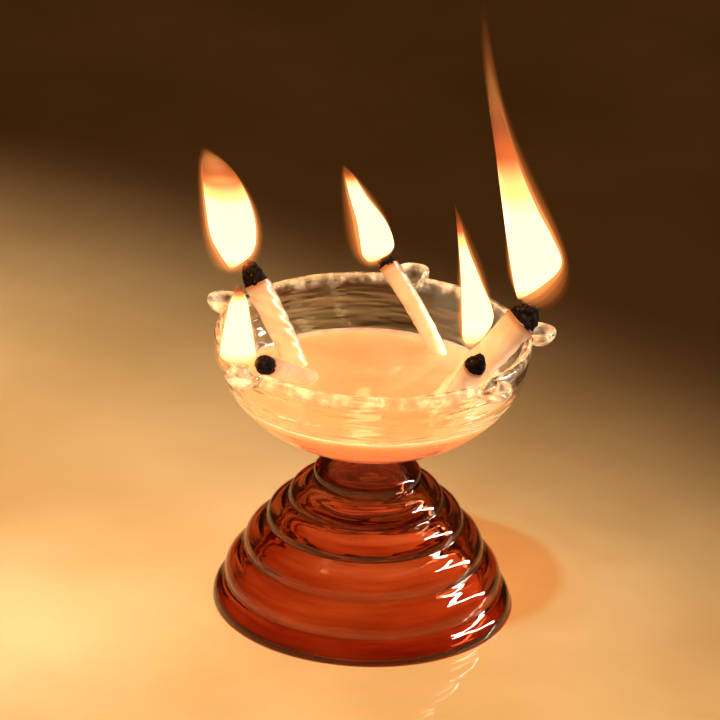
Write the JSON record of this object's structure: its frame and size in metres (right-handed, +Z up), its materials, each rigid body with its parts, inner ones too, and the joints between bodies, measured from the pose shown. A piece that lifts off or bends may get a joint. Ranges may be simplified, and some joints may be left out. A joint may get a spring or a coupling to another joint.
{
  "type": "oil lamp",
  "caption": "Glass oil lamp: clear round bowl with small wick lips on its rim, fused to a stepped hollow amber foot, holding oil and cotton wicks that burn with open flames.",
  "frame": {"origin": "middle of the footprint of the whole lit lamp, lips and flames included, on the table; the axis of the glass stands at x -1.0 mm, y -2.9 mm", "axes": "+Z up along the axis of the glass; +X to the viewer's right and +Y away from the viewer in the picture"},
  "size_m": [0.0948, 0.086, 0.1648],
  "materials": {
    "amber_glass": "polished",
    "clear_glass": "polished",
    "lamp_oil": "polished",
    "cotton": "matte",
    "charred_cotton": "matte",
    "flame": "matte"
  },
  "bodies": {
    "lamp": {"amber_foot": "amber_glass", "neck_joint": "amber_glass", "glass_bowl": "clear_glass", "wick_lip_1": "clear_glass", "wick_lip_2": "clear_glass", "wick_lip_3": "clear_glass", "wick_lip_4": "clear_glass", "wick_lip_5": "clear_glass", "oil": "lamp_oil"},
    "wick_set_1": {"wick_1": "cotton", "charred_tip_1": "charred_cotton", "flame_1": "flame"},
    "wick_set_2": {"wick_2": "cotton", "charred_tip_2": "charred_cotton", "flame_2": "flame"},
    "wick_set_3": {"wick_3": "cotton", "charred_tip_3": "charred_cotton", "flame_3": "flame"},
    "wick_set_4": {"wick_4": "cotton", "charred_tip_4": "charred_cotton", "flame_4": "flame"},
    "wick_set_5": {"wick_5": "cotton", "charred_tip_5": "charred_cotton", "flame_5": "flame"}
  },
  "joints": [
    {"name": "wick_1_draw", "type": "slide", "parent": "lamp", "child": "wick_set_1", "axis": [-0.469, 0.3046, 0.829], "range_m": [0, 0.008]},
    {"name": "wick_2_draw", "type": "slide", "parent": "lamp", "child": "wick_set_2", "axis": [-0.5171, 0.4822, 0.7071], "range_m": [0, 0.008]},
    {"name": "wick_3_draw", "type": "slide", "parent": "lamp", "child": "wick_set_3", "axis": [0.6463, 0.1732, 0.7431], "range_m": [0, 0.008]},
    {"name": "wick_4_draw", "type": "slide", "parent": "lamp", "child": "wick_set_4", "axis": [0.3681, -0.3812, 0.8481], "range_m": [0, 0.008]},
    {"name": "wick_5_draw", "type": "slide", "parent": "lamp", "child": "wick_set_5", "axis": [-0.3164, -0.8243, 0.4695], "range_m": [0, 0.008]}
  ]
}
